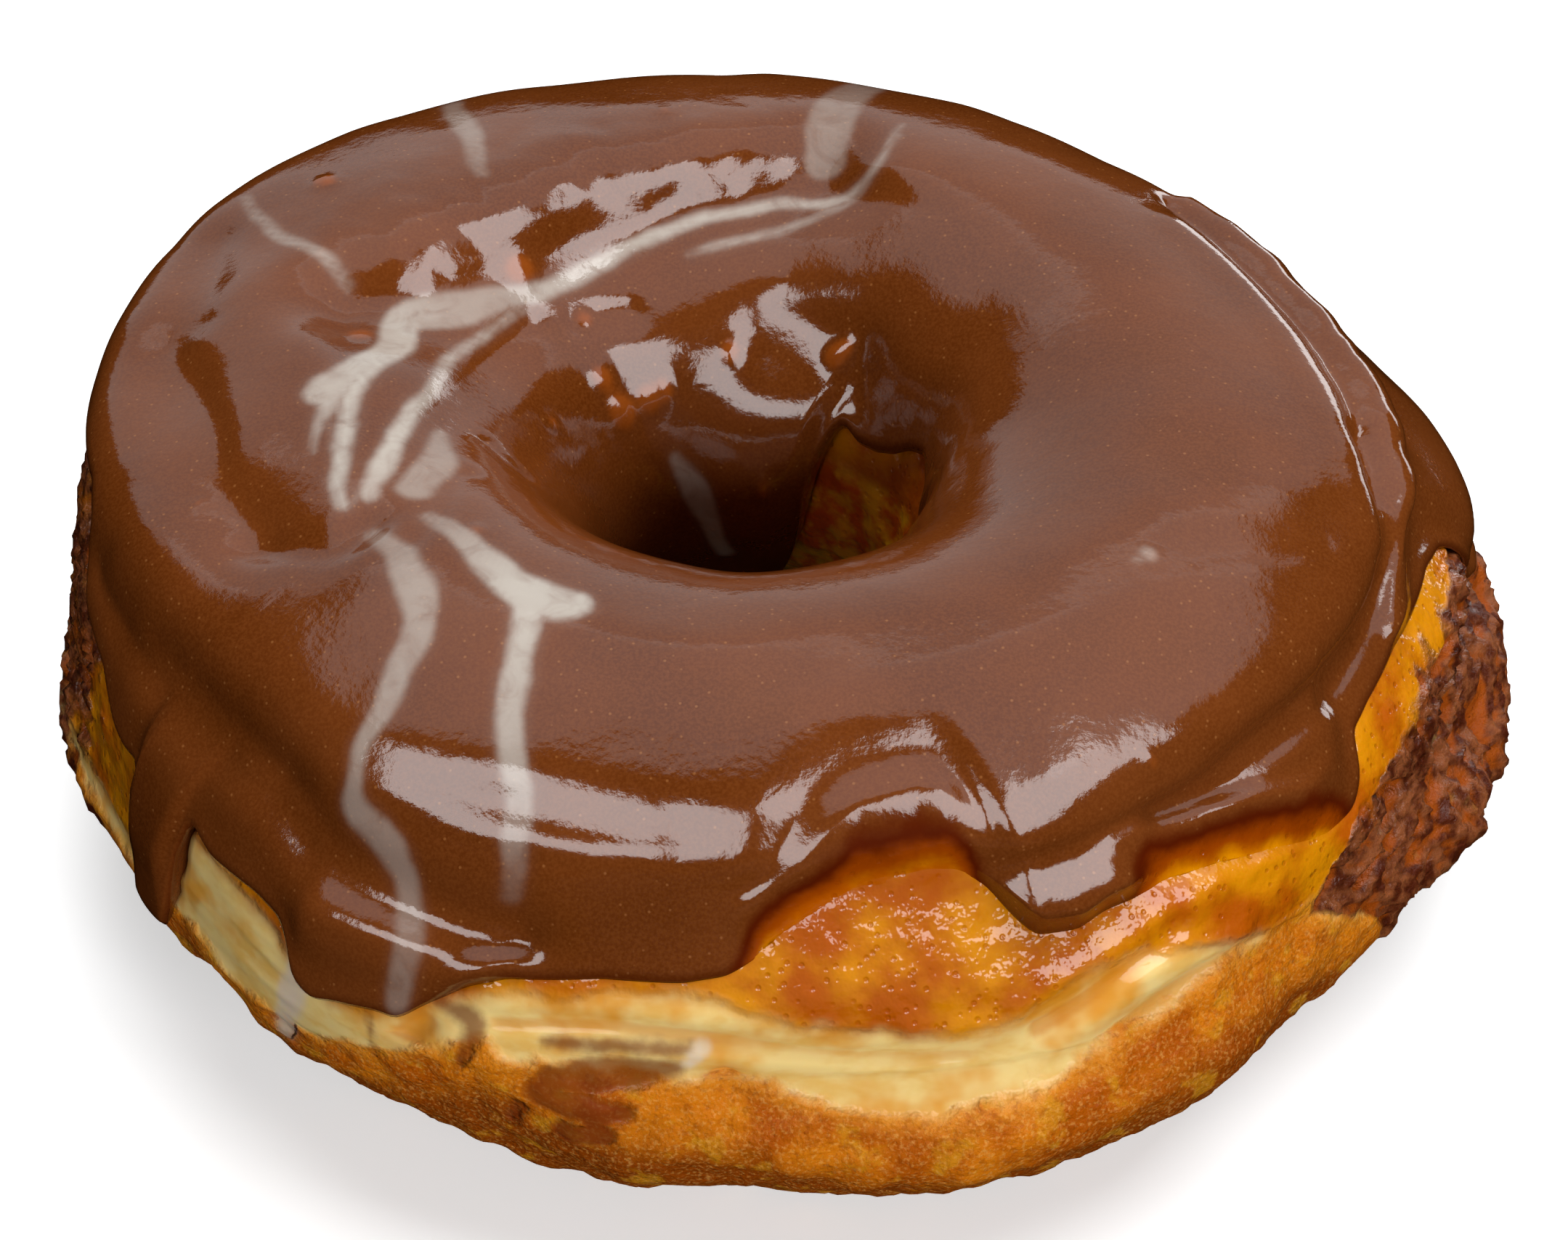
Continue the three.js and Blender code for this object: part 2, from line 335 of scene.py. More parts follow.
# %% Where the icing ends
ICING_EDGE = [  # angle and key line
    (0, 1.35), (1.5, 1.15), (3, 0.7), (4.5, 0.2), (6, -0.2), (9, -0.45), (13, -0.5), (18, -0.2),
    (24, 0.4), (30, 0.9), (37, 1.4), (44, 1.75), (55, 2.05), (66, 1.7), (76, 1), (82, 0.75),
    (89, 1), (96, 1.7), (112, 1.95), (126, 1.5), (134, 1), (141, 0.85), (150, 1.6), (160, 1.85),
    (172, 2.2), (180, 2.45), (184, 2.3), (187, 1.9), (190, 1.6), (193, 1.5), (196, 1.4), (198, 1.2),
    (200, 1), (202, 0.92), (204, 0.95), (205.2, 0.9), (205.6, 0.2), (205.9, -0.7), (207, -0.84),
    (208.5, -0.86), (210, -0.84), (211.2, -0.78), (211.8, -0.4), (212.2, 0.9), (213, 0.98),
    (216, 0.78), (222, 0.78), (225, 0.68), (226.8, 0.42), (228, 0.08), (230, 0), (232, 0.12),
    (236, 0.26), (238, 0.27), (240, 0.55), (243, 0.88), (246, 1.05), (254, 1.2), (261, 1.22),
    (265, 1.3), (267, 1.42), (270, 1.63), (274, 1.84), (278, 2.02), (284, 2.1), (288, 2.0),
    (290, 1.8), (291.5, 1.56), (293, 1.38), (297, 1.33), (300, 1.4), (306, 1.4), (313, 1.3),
    (319, 1.1), (324, 0.88), (328, 0.9), (330.5, 1.1), (333, 1.45), (337, 1.52), (344, 1.58),
    (350, 1.54), (356, 1.5),
]
ICING_INNER_EDGE = [  # angle and key line
    (0, 6.1), (9, 5.82), (20, 5.69), (27, 5.76), (33, 5.88), (40, 5.95), (47, 5.96), (53, 5.88),
    (55.5, 5.92), (58, 6.08), (61, 6.3), (65, 6.68), (69, 6.96), (73, 7.2), (86, 7.9), (100, 8.2),
    (150, 8.2), (200, 7.8), (250, 7), (300, 6.7),
]
WIPED_STRETCHES = [(266, 289, 6), (303, 327, 8)]  # from, to and softness, in degrees
OUTER_ROUNDING, INNER_ROUNDING = 0.6, 1.2  # degrees that the edges are rounded over


def line_round(stops, angle, soft=1.0):
    """A closed line round the ring, read at any angle and rounded over a few degrees."""
    at, line = np.array(stops).T
    reads = [np.interp(np.degrees(angle) + off, at, line, period=360) for off in (-soft, 0, soft)]
    return (reads[0] + 2 * reads[1] + reads[2]) / 4


def wiped(angle):
    """1 where the icing thins to nothing without a lip."""
    return np.max([between(angle, *stretch) for stretch in WIPED_STRETCHES], axis=0)


def mm_per_line(angle, place, small=0.05):
    """How many mm of surface one key line takes."""
    step = ring_point(angle, place + small) - ring_point(angle, place - small)
    return np.linalg.norm(step, axis=1) / (2 * small)


run, bay = line_round(ICING_EDGE, np.radians([207.0, 284.0])).round(2)
print("icing ends at key line", run, "at its run and", bay, "at its bay")

# %% [markdown]
# ## The dough
# The crust shows most at the front and right. Below the belt it is dry and crumbly, and at
# the right it is torn into dark crags. The belt itself is pale: it floated above the oil, and
# the dough there is drawn out in soft layers that run round the ring. Above it the dough is
# amber, bulging and bubbly under a wet film of glaze that ends in a fine step.

# %% Lines and folds of the belt
DOUGH_STEPS_ROUND = 500
DOUGH_STEPS_ACROSS = 196
DOUGH_CROWDING = 0.42  # of the steps, drawn to the outside of the ring
BELT_TOP = [  # angle and key line: pale below it, amber and wet above
    (0, 0.5), (60, 0.7), (120, 0.7), (165, -0.3), (203, -0.4), (207, 0.2), (212, 0.75), (222, 0.6),
    (231, 0.04), (236, 0.24), (246, 0.96), (251, 0.94), (256, 1.14), (265, 1.05), (271, 0.76),
    (283, 0.56), (289, 0.5), (292, 0.75), (297, 0.98), (304, 0.9), (311, 0.5), (318, 0.1),
    (330, 0.3),
]
BELT_FOOT = [  # angle and key line: dry crust below it
    (0, -0.4), (60, -0.3), (120, -0.3), (165, -0.5), (205, -0.6), (212, -0.45), (220, -0.7),
    (228, -0.7), (235, -0.34), (241, 0.1), (245, 0.3), (248, 0.1), (253, 0.2), (262, 0.1),
    (266, 0.05), (270, -0.2), (274, -0.32), (283, -0.45), (288, -0.4), (295, -0.2), (300, 0.05),
    (310, 0.3), (318, 0.3), (324, -0.3), (332, -0.8), (345, -0.6),
]
BELT_FOLDS = [  # stops of angle, key line and half width in mm, then height and width in mm
    ([(281, 0.62, 0.1), (286, 0.52, 0.2), (289, 0.5, 0.2), (291, 0.74, 0.2), (297, 0.98, 0.3),
      (305, 1.16, 0.3), (313, 1.22, 0.2), (320, 1.2, 0.1)], 0.55, 0.8),
    ([(292, 0.3, 0.1), (297, 0.6, 0.2), (300, 0.82, 0.2), (306, 1.08, 0.1)], -0.7, 0.7),
    ([(293, 0, 0.1), (297, 0.25, 0.3), (300, 0.5, 0.3), (306, 0.62, 0.3),
      (312, 0.5, 0.1)], 0.6, 0.9),
    ([(296, -0.15, 0.1), (302, 0.12, 0.2), (307, 0.32, 0.2), (312, 0.3, 0.1)], -0.5, 0.6),
    ([(244, 0.8, 0.1), (256, 0.92, 0.2), (266, 0.82, 0.2), (276, 0.45, 0.2),
      (286, 0.32, 0.1)], 0.3, 0.7),
    ([(246, 0.55, 0.1), (254, 0.7, 0.1), (262, 0.6, 0.2), (272, 0.3, 0.1),
      (286, 0.1, 0.1)], -0.45, 0.5),
    ([(258, 0.3, 0.1), (268, 0.2, 0.2), (280, -0.05, 0.2), (290, -0.1, 0.1)], 0.35, 0.8),
    ([(264, 0, 0.1), (275, -0.28, 0.1), (286, -0.4, 0.1)], -0.4, 0.5),
    ([(240, 0.3, 0.1), (238.5, 0, 0.3), (237.5, -0.35, 0.3), (238, -0.8, 0.1)], -0.8, 0.8),
    ([(265, 0, 0.1), (266, -0.3, 0.2), (265, -0.7, 0.2), (268, -1, 0.1)], -0.7, 0.7),
    ([(297, -0.4, 0.1), (297.5, -0.7, 0.2), (297, -1, 0.1)], -0.6, 0.6),
    ([(323, -0.4, 0.1), (322, -0.8, 0.1)], -0.5, 0.7),
]
BURNT_TOP = [  # angle and key line, and angles past 360 go on round
    (313, -0.4), (318, 0.1), (322, 0.35), (326, 0.6), (332, 0.95), (340, 0.98), (348, 1.12),
    (356, 1.2), (366, 1), (380, 0.5), (392, -0.6),
]
BURNT_FOOT = [
    (313, 0.4), (318, 0.3), (322, -0.1), (329, -0.75), (334, -1.8), (340, -3), (392, -3),
]
CRAG_STRETCH, SLIVER_STRETCH = (314, 390, 4), (152, 193.5, 5)  # from, to and softness, in degrees
SHADED_STRETCH = 193, 214, 12
WANDER = 0.3  # key lines that the torn crust's edges stray
WANDER_TURN = 0.4  # radians, for each of those key lines
print(len(BELT_FOLDS), "folds drawn along the belt")


# %% Shape the dough
def rough_where(part, points, *settings):
    """Cloudy noise times a mask, worked out only where the mask isn't zero."""
    total = np.zeros(len(points))
    chosen = part > 0.01
    total[chosen] = part[chosen] * rough(points[chosen], *settings)
    return total


dough, angle, share = spun_ring("dough", DOUGH_STEPS_ROUND, DOUGH_STEPS_ACROSS)
place = np.mod(KEY_LINES * (share - DOUGH_CROWDING * np.sin(math.tau * share) / math.tau), KEY_LINES)
skin = ring_point(angle, place)
up = shorter(place, KEY_LINES)  # key lines above the belt, below zero on the lower tier
line_mm = mm_per_line(angle, place)
above_belt = (up - line_round(BELT_TOP, angle)) * line_mm
above_foot = (up - line_round(BELT_FOOT, angle)) * line_mm
outer_wall = ease(-2.7, -2.1, up) * (1 - ease(3, 3.5, up))
bare = 1 - ease(-0.02, 0.15, place - line_round(ICING_EDGE, angle)) * (1 - ease(6, 6.5, place))
inner_wall = bare * hump(shorter(place - THROAT, KEY_LINES), 1.6)

dry = outer_wall * bare * (1 - ease(-1, 0.6, above_foot))
pale = outer_wall * bare * ease(-0.6, 0.6, above_foot) * (1 - ease(-0.5, 0.6, above_belt))
amber = outer_wall * bare * ease(-0.2, 0.6, above_belt) * ease(-1, 0.2, above_foot)
on_round = 270 + np.mod(np.degrees(angle) - 270, 360)
near_torn = np.maximum(between(angle, 308, 394), between(angle, 140, 205))
wander = WANDER * rough_where(outer_wall * near_torn, skin, 4, 3, 6.1)
crag = ease(-0.25, 0.25, np.interp(on_round, *np.array(BURNT_TOP).T) - up + wander)
crag *= ease(-0.2, 0.2, up - np.interp(on_round, *np.array(BURNT_FOOT).T))
crag *= between(angle, *CRAG_STRETCH)
sliver = between(angle + WANDER_TURN * wander, *SLIVER_STRETCH)
sliver *= (1 - ease(2, 2.6, up)) * ease(-1.4, -0.8, up)
crag, sliver = crag * outer_wall, sliver * outer_wall
print("bare crust on", int((dry > 0.5).sum()), "corners, pale belt on", int((pale > 0.5).sum()))

# %% [markdown]
# Noise gives each part its own grain. Crumbs and bubbles are plain noise, while crags are
# noise folded along its zero line, which leaves sharp ridges. Under the icing the dough is
# sunk, so that valleys in the icing can be deep without the dough breaking through.

# %% Roughen the dough: heights in mm
CRUST_SWELL, CRUMB_HEIGHT, CRAG_HEIGHT, FLAKE_HEIGHT = 0.6, 0.3, 0.6, 0.7
LAYER_HEIGHT, BUBBLE_HEIGHT, FILM_STEP, FOLD_HEIGHT = 0.12, 0.14, 0.15, 0.7
SINK, SUNK_WHOLE_AT = 1.6, 4  # mm, the second from the icing's edge
FLAT_FLAKE, FLAKE_SHARPNESS = 0.5, 2.2
UNDER_FOOT = 9.5  # key line in the middle of the underside
out = broad_relief(angle, place)
out += CRUST_SWELL * rough_where(dry, skin, 8)
out += CRUMB_HEIGHT * rough_where(dry, skin, 2.2, 4)
out += CRAG_HEIGHT * rough_where(crag, skin, 4, 2, 7.3)
flakes = rough_where(np.maximum(crag, sliver), skin * (1, 1, 1.4), 2.6, 4, 3.9)
flakes = np.maximum(crag, sliver) * (FLAT_FLAKE - FLAKE_SHARPNESS * np.abs(flakes))
out += FLAKE_HEIGHT * flakes
out += LAYER_HEIGHT * rough_where(pale, skin * (0.25, 0.25, 1), 1.4, 3, 2.1)
out += BUBBLE_HEIGHT * rough_where(amber + 4 * inner_wall, skin, 2.6, 3, 4.2)
out += FILM_STEP * outer_wall * bare * ease(-0.1, 0.25, above_belt)
along = np.where(place > UNDER_FOOT, place - KEY_LINES, place)
past_lip = along - line_round(ICING_EDGE, angle)
before_throat = line_round(ICING_INNER_EDGE, angle, INNER_ROUNDING) - along
out -= SINK * ease(0.5, SUNK_WHOLE_AT, np.minimum(past_lip, before_throat) * line_mm)
creases = [high * hump(np.maximum(beyond(skin, stops, 4.0), 0), wide) for stops, high, wide in BELT_FOLDS]
creased = FOLD_HEIGHT * sum(creases)
creased *= ease(-0.5, 0.3, line_mm * (line_round(ICING_EDGE, angle) - place))
points = skin + outward(angle, place) * (out + creased)[:, None]
points[:, 2] = np.maximum(points[:, 2], 0)
put(dough, points)
print("dough:", len(dough.data.polygons), "faces, moved", out.min().round(2), "to", out.max().round(2), "mm")

# %% [markdown]
# ## What the dough's material will need
# Attributes carry what a material can't work out: how far a spot lies above the belt or below
# it, how burnt or torn it is, with painted shade added on the left of the lower tier, whether it
# lies in the throat, and where chocolate or white glaze rubbed off on the crust.

# %% Stains and runs on the dough
STAINS = [  # chocolate rubbed off on the crust
    [(241, 0.62, 0.4), (244, 0.5, 0.7), (244, 0.2, 0.6), (243, -0.2, 0.2)],
    [(250, 0.42, 0.3), (256, 0.45, 0.5), (262, 0.41, 0.35)],
    [(261, 0.15, 0.6), (256, 0.05, 1.3), (251, -0.1, 1)],
    [(250, -0.3, 1.1), (254, -0.4, 1.2), (257, -0.4, 0.6)],
    [(252, -0.75, 1), (255, -0.7, 0.9), (254, -0.5, 0.6)],
    [(248, -0.6, 0.5), (247, -0.9, 0.4)],
    [(235, 0.2, 0.2), (235.5, -0.15, 0.25), (235, -0.5, 0.12)],
]
WHITE_ON_DOUGH = [  # runs of white glaze
    [(227, 0.4, 0.6), (227.5, 0.05, 0.9), (227, -0.25, 1.2), (226, -0.6, 0.8), (225, -0.9, 0.8),
     (223.5, -1.2, 0.5)],
    [(263, 0.42, 0.5), (262, 0.22, 0.35)],
]
SLIVER_BURN, SHADED_BURN = 0.8, 0.45
HOLE_SIDE, WELL_ABOVE = (3.5, 8.5), 3  # key lines that face the hole, and mm given to them
FURTHEST_BELT, FURTHEST_FOOT = 8, 12  # mm
burnt_and_shade = crag + SLIVER_BURN * sliver
# Painted shade: the lower tier from 193 to 214 degrees, at the left front, is darkened with the burnt
# colours for the shade on that side.
burnt_and_shade += SHADED_BURN * between(angle, *SHADED_STRETCH) * (1 - ease(-1, 0, up)) * outer_wall
inside = (place > HOLE_SIDE[0]) & (place < HOLE_SIDE[1])
kept_belt = np.clip(above_belt, -FURTHEST_BELT, FURTHEST_BELT)
kept_foot = np.clip(above_foot, -FURTHEST_FOOT, FURTHEST_FOOT)
keep(dough, "above_belt", np.where(inside, WELL_ABOVE, kept_belt))
keep(dough, "above_foot", np.where(inside, WELL_ABOVE, kept_foot))
keep(dough, "burnt_and_shade", np.clip(burnt_and_shade, 0, 1))
keep(dough, "creased", creased)
keep(dough, "flakes", flakes)
keep(dough, "throat", inner_wall)
keep(dough, "stain", np.min([beyond(skin, mark) for mark in STAINS], axis=0))
keep(dough, "white", np.min([beyond(skin, mark) for mark in WHITE_ON_DOUGH], axis=0))
print("kept:", [attribute.name for attribute in dough.data.attributes if attribute.data_type == "FLOAT"])

# %% [markdown]
# ## The icing
# The icing is a skin with a rounded lip. It is a torus whose corners run over the outside
# from the outer edge to the inner one, then back underneath with only a few steps, because
# nobody sees that side. Its thickness comes from the distance to its own edge: a lip, then
# the full coat, and nearly nothing where it was wiped.

# %% Lay the icing
ICING_STEPS_ROUND = 560
ICING_STEPS_ACROSS = 170
OUTSIDE_SHARE = 0.93  # of the steps across, on the side that shows
FRONT_CROWDING = 0.28
SHOULDER_CROWDING = 1.3
EVEN_EDGE, EDGE_PULL = 1.65, 4  # key line of the evened edge, and how soon steps follow it
ICING_HEIGHT, LEAST_HEIGHT = 1.85, 0.06
WHOLE_COAT_FROM, WHOLE_COAT_AT = 1, 8  # mm from an edge
THIN_LIP, THICK_LIP, LIP_WIDTH = 0.4, 1.05, 1.2
THIN_LIP_STRETCH = 246, 362, 8  # from, to and softness, in degrees
FILM_RISE, FILM_SHOWS_TO, FILM_STARTS, FILM_ENDS = 4.5, 5, 4, 6  # mm from the outer edge

icing, turned, share = spun_ring("icing", ICING_STEPS_ROUND, ICING_STEPS_ACROSS)
angle = turned - FRONT_CROWDING * np.cos(turned)
outside = share < OUTSIDE_SHARE
across = np.where(outside, share / OUTSIDE_SHARE, (1 - share) / (1 - OUTSIDE_SHARE))
outer_edge = line_round(ICING_EDGE, angle, OUTER_ROUNDING)
inner_edge = line_round(ICING_INNER_EDGE, angle, INNER_ROUNDING)
place = EVEN_EDGE + (inner_edge - EVEN_EDGE) * across**SHOULDER_CROWDING
place += (outer_edge - EVEN_EDGE) * (1 - across) ** EDGE_PULL
skin = ring_point(angle, place)
from_lip = (place - outer_edge) * mm_per_line(angle, (place + outer_edge) / 2)
from_throat = (inner_edge - place) * mm_per_line(angle, (place + inner_edge) / 2)
near_edge = np.minimum(from_lip, from_throat)
thin = wiped(angle) * (1 - ease(FILM_STARTS, FILM_ENDS, from_lip))
lip_height = THICK_LIP + (THIN_LIP - THICK_LIP) * between(angle, *THIN_LIP_STRETCH)
lip = lip_height * np.sqrt(np.clip(1 - (1 - np.clip(near_edge / LIP_WIDTH, 0, 1)) ** 2, 0, 1))
coat = lip + (ICING_HEIGHT - lip_height) * ease(WHOLE_COAT_FROM, WHOLE_COAT_AT, near_edge)
film = ICING_HEIGHT * ease(0, FILM_RISE, from_lip)
lift = LEAST_HEIGHT + coat * (1 - thin) + film * thin
print("icing:", len(icing.data.polygons), "faces, thickest", lift.max().round(2), "mm")

# %% [markdown]
# ## Folds, lumps and glaze strokes
# Wet icing keeps the dough's folds, softened, and has small lumps in it. Shiny things show
# their shape by where the reflections bend, so a fold is a valley that may be steep on one
# side and slow on the other, and a swell of below zero depth turns a slope to the light.
# White glaze was dribbled over while both were wet, so it lies flat and was drawn out.

# %% Folds: stops with half widths, then depth, outer and inner width in mm
FOLDS = [
    # the long valley at the back left
    ([(156, 3.92, 0.1), (151, 4.28, 0.3), (142, 4.52, 0.5), (130, 4.66, 0.5), (120, 4.62, 0.5),
      (111, 4.58, 0.5), (101, 4.47, 0.4), (91, 4.36, 0.3), (83, 4.15, 0.1)], 2.8, 3.8, 6),
    # the crease from the hole round to the left
    ([(138, 5.0, 0.1), (157, 4.98, 0.2), (175, 4.78, 0.4), (189, 4.52, 0.5), (200, 4.18, 0.5),
      (204, 3.88, 0.3)], 0.55, 1.4, 1.8),
    # its hook at the end
    ([(204, 3.88, 0.3), (204.5, 3.7, 0.4), (200, 3.52, 0.3), (197, 3.38, 0.1)], 0.45, 1.1, 1.1),
    # a short crease beside it
    ([(200, 4.6, 0.1), (208, 4.2, 0.3), (211, 3.95, 0.1)], 0.35, 1.1, 1.1),
    # a hollow on the left of the dome
    ([(166, 3.15, 0.1), (171, 3.3, 0.2), (179, 3.4, 0.2), (187, 3.38, 0.2),
      (196, 3.44, 0.1)], 0.6, 3, 1.8),
    # a smaller hollow behind it
    ([(150, 3.05, 0.1), (156, 3.2, 0.3), (162, 3.26, 0.1)], 0.5, 2.4, 1.8),
    # a nick in the left of the hole's rim
    ([(184, 5, 0.1), (189, 5.12, 0.2), (191, 5.26, 0.1)], 0.3, 0.8, 0.8),
    # the groove under the dome at the left
    ([(190, 2.32, 0.3), (195, 2.3, 0.5), (201, 2.22, 0.7), (207, 2.12, 0.8), (213, 2.06, 0.8),
      (219, 1.97, 0.6), (224, 1.76, 0.4), (228, 1.58, 0.3), (236, 1.48, 0.2),
      (246, 1.38, 0.1)], 0.6, 1.8, 2),
    # its deeper lower end
    ([(221, 1.95, 0.1), (228, 1.64, 0.4), (236, 1.52, 0.4), (246, 1.44, 0.1)], 0.5, 1.9, 2),
    # a fine line along the front
    ([(226, 2.2, 0.1), (232, 2.26, 0.2), (239, 2.36, 0.3), (245, 2.3, 0.3), (252, 2.3, 0.3),
      (259, 2.26, 0.3), (266, 2.16, 0.2), (273, 1.98, 0.1)], 0.1, 0.9, 1.1),
    # the groove at the front right
    ([(308, 1.98, 0.1), (313, 1.98, 0.4), (321, 2.08, 0.7), (329, 2.06, 0.8), (337, 2.02, 0.6),
      (344, 2.1, 0.3), (350, 2.4, 0.1), (356, 2.74, 0.1), (363, 2.94, 0.1)], 0.75, 1.1, 1.1),
    # that groove going on round the right
    ([(356, 2.74, 0.1), (363, 2.94, 0.1), (370, 3.02, 0.1), (382, 3.06, 0.1), (392, 3.1, 0.1),
      (404, 3.08, 0.1)], 0.7, 0.9, 0.8),
    # the roll of icing outside it
    ([(345, 1.7, 0.2), (352, 2.05, 0.3), (358, 2.4, 0.3), (366, 2.64, 0.3), (376, 2.72, 0.3),
      (390, 2.76, 0.3), (404, 2.74, 0.2)], -0.7, 1.4, 0.9),
    # a low swell inside it
    ([(350, 2.68, 0.1), (356, 3.0, 0.1), (366, 3.26, 0.1), (382, 3.3, 0.1),
      (400, 3.34, 0.1)], -0.22, 0.8, 1.6),
    # the shallow fold round the front of the crown
    ([(236, 3.6, 0.1), (246, 3.72, 0.3), (260, 3.68, 0.4), (270, 3.74, 0.5), (280, 3.82, 0.4),
      (292, 3.86, 0.2), (308, 3.86, 0.3), (319, 3.82, 0.3), (327, 3.74, 0.3), (336, 3.54, 0.2),
      (344, 3.16, 0.1)], 0.25, 1.6, 2),
    # its end at the right
    ([(352, 3.6, 0.5), (348, 3.9, 0.8), (344, 3.5, 0.3)], 0.1, 2.2, 2.2),
    # two swells in the hole that catch the light
    ([(73, 5.95, 0.3), (72, 6.05, 0.3)], -1.6, 4.8, 4.8),
    # and the second one
    ([(94, 6.4, 0.3), (92, 6.5, 0.3)], -1.8, 4.5, 4.5),
    # the dent above them
    ([(80, 5.38, 0.4), (70, 5.42, 0.5), (60, 5.42, 0.4)], 1.1, 3.2, 3.2),
    # the swollen lip at the front left
    ([(229, 0.95, 0.3), (236, 0.98, 0.6), (243, 1.1, 0.3)], -0.75, 1.8, 2.3),
    # a low swell that evens the front slope
    ([(246, 2.64, 0.3), (256, 2.64, 0.3)], -0.12, 1.3, 1.3),
    # the lobe beside the bay
    ([(292.5, 1.5, 0.5), (296, 1.42, 0.8), (300, 1.5, 0.5)], -2.1, 2, 3),
    # a dent in the hole, by the nuts
    ([(128, 5.12, 0.4), (117, 5.18, 0.4)], 0.3, 0.9, 0.9),
]
LUMPS = [  # angle, key line, radius and height in mm
    (140, 3.34, 0.7, 0.4), (133, 4.52, 1.1, 0.35), (160, 4.04, 1.1, 0.25), (132, 5.5, 0.9, 0.3),
    (131, 5.74, 1.1, 0.4), (121, 5.73, 0.9, 0.35), (115, 5.7, 0.8, 0.3), (93, 5.5, 0.8, 0.3),
    (127, 5.1, 0.7, 0.25), (62, 5.42, 0.8, 0.35), (60, 5.34, 0.6, 0.25), (205, 3.32, 0.6, 0.12),
    (217, 4.26, 0.7, 0.15), (328, 3.74, 0.7, 0.15), (104, 3.6, 0.6, 0.15), (157, 5.5, 0.6, 0.2),
    (78, 6.28, 0.8, 0.2), (150, 3.64, 0.6, 0.15), (189, 3.3, 0.5, 0.15), (309, 2.7, 0.5, 0.15),
]


VALLEY_FADE, SWELL_FADE = 3, 1.2  # mm from the icing's edge
SIDE_BLEND = 0.15  # key lines on which one side's width goes over into the other's
RIPPLES = [  # from, to and softness in degrees, key line, height in mm, then noise settings
    ((85, 158, 20), 4.0, 0.3, (5, 3, 8.8)), ((-6, 40, 12), 2.4, 0.5, (3.5, 2, 2.8)),
]
RIPPLE_WIDTH = 0.5  # key lines


def fold(points, angle, place, stops, depth, outer, inner):
    """A valley, or a swell below zero depth, with its own width on each side."""
    reach = 2.5 * max(outer, inner) + 1
    gap = np.maximum(beyond(points, stops, reach), 0)
    at, line, _ = np.array(sorted(stops)).T
    middle = (at[0] + at[-1]) / 2
    side = place - np.interp(middle + shorter(np.degrees(angle) - middle, 360), at, line)
    return depth * hump(gap, outer + (inner - outer) * ease(-SIDE_BLEND, SIDE_BLEND, side))


folded = np.zeros(len(skin))
for stops, depth, outer, inner in FOLDS:
    fading = ease(0, VALLEY_FADE if depth > 0 else SWELL_FADE, near_edge)
    folded -= fading * fold(skin, angle, place, stops, depth, outer, inner)
ripples = np.zeros(len(skin))
for stretch, line, high, grain in RIPPLES:
    ripples += high * between(angle, *stretch) * hump(place - line, RIPPLE_WIDTH) * rough(skin, *grain)
lumpy = sum(high * hump(from_spot(skin, at, line), wide) for at, line, wide, high in LUMPS)
print("folds reach", folded.min().round(2), "mm deep and lumps", lumpy.max().round(2), "mm high")

